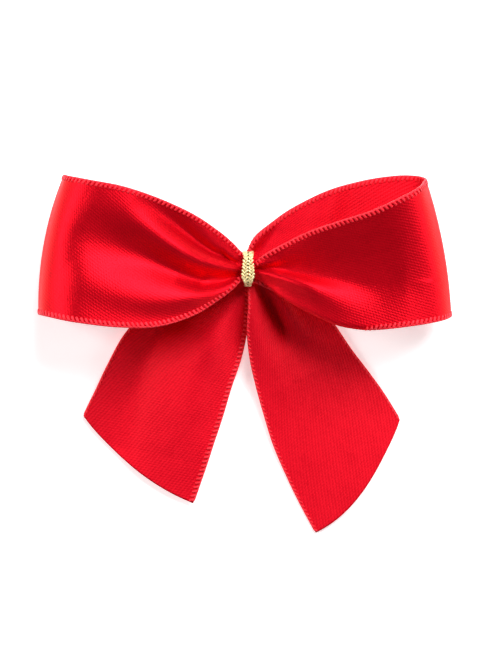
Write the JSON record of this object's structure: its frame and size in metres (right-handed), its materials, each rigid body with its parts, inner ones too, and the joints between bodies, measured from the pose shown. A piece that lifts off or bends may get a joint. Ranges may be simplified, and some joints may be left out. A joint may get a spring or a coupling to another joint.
{
  "type": "pre-made gift bow",
  "caption": "Flat satin ribbon bow with two loops and two slanted tails, gathered by a knitted metallic tie, with a peel-off adhesive pad behind.",
  "frame": {"origin": "on the outer face of the release liner, straight below the middle of the tie", "axes": "+X towards the right loop, +Y towards the loops' upper edges and away from the tails, +Z out of the front of the bow"},
  "size_m": [0.0736, 0.0642, 0.0163],
  "materials": {
    "satin_ribbon": "red single-face satin, glossy face, matte reverse",
    "metallic_knit": "knitted gold and olive metallic yarn",
    "pad_foam": "white soft foam",
    "liner_paper": "cream coated paper"
  },
  "bodies": {
    "centre": {"gather_front_layer": "satin_ribbon", "gather_back_layer": "satin_ribbon", "gather_tail_layer": "satin_ribbon", "tie_band": "metallic_knit", "tie_knot": "metallic_knit", "tie_cut_end_left": "metallic_knit", "tie_cut_end_right": "metallic_knit", "adhesive_pad": "pad_foam"},
    "left_loop": {"left_loop": "satin_ribbon"},
    "right_loop": {"right_loop": "satin_ribbon"},
    "left_tail": {"left_tail_gather": "satin_ribbon"},
    "left_tail_tip": {"left_tail_end": "satin_ribbon"},
    "right_tail": {"right_tail_gather": "satin_ribbon"},
    "right_tail_tip": {"right_tail_end": "satin_ribbon"},
    "liner": {"release_liner": "liner_paper"}
  },
  "joints": [
    {"name": "left_loop_lift", "type": "hinge", "parent": "centre", "child": "left_loop", "pos_m": [-0.0021, 0, 0.0085], "axis": [0, 1, 0], "range_deg": [0, 45]},
    {"name": "right_loop_lift", "type": "hinge", "parent": "centre", "child": "right_loop", "pos_m": [0.0021, 0, 0.0085], "axis": [0, -1, 0], "range_deg": [0, 45]},
    {"name": "left_tail_swing", "type": "hinge", "parent": "centre", "child": "left_tail", "pos_m": [-0.0021, 0.0022, 0.0047], "axis": [0, 0, -1], "range_deg": [0, 8]},
    {"name": "right_tail_swing", "type": "hinge", "parent": "centre", "child": "right_tail", "pos_m": [0.0021, 0.0022, 0.0047], "axis": [0, 0, 1], "range_deg": [0, 8]},
    {"name": "left_tail_bend", "type": "hinge", "parent": "left_tail", "child": "left_tail_tip", "pos_m": [-0.01366, -0.01902, 0.00162], "axis": [-0.9021, 0.4287, -0.0484], "range_deg": [0, 60]},
    {"name": "right_tail_bend", "type": "hinge", "parent": "right_tail", "child": "right_tail_tip", "pos_m": [0.01092, -0.01946, 0.00171], "axis": [-0.9292, -0.3672, 0.0413], "range_deg": [0, 60]},
    {"name": "liner_pull", "type": "slide", "parent": "centre", "child": "liner", "axis": [-1, 0, 0], "range_m": [0, 0.014]}
  ]
}
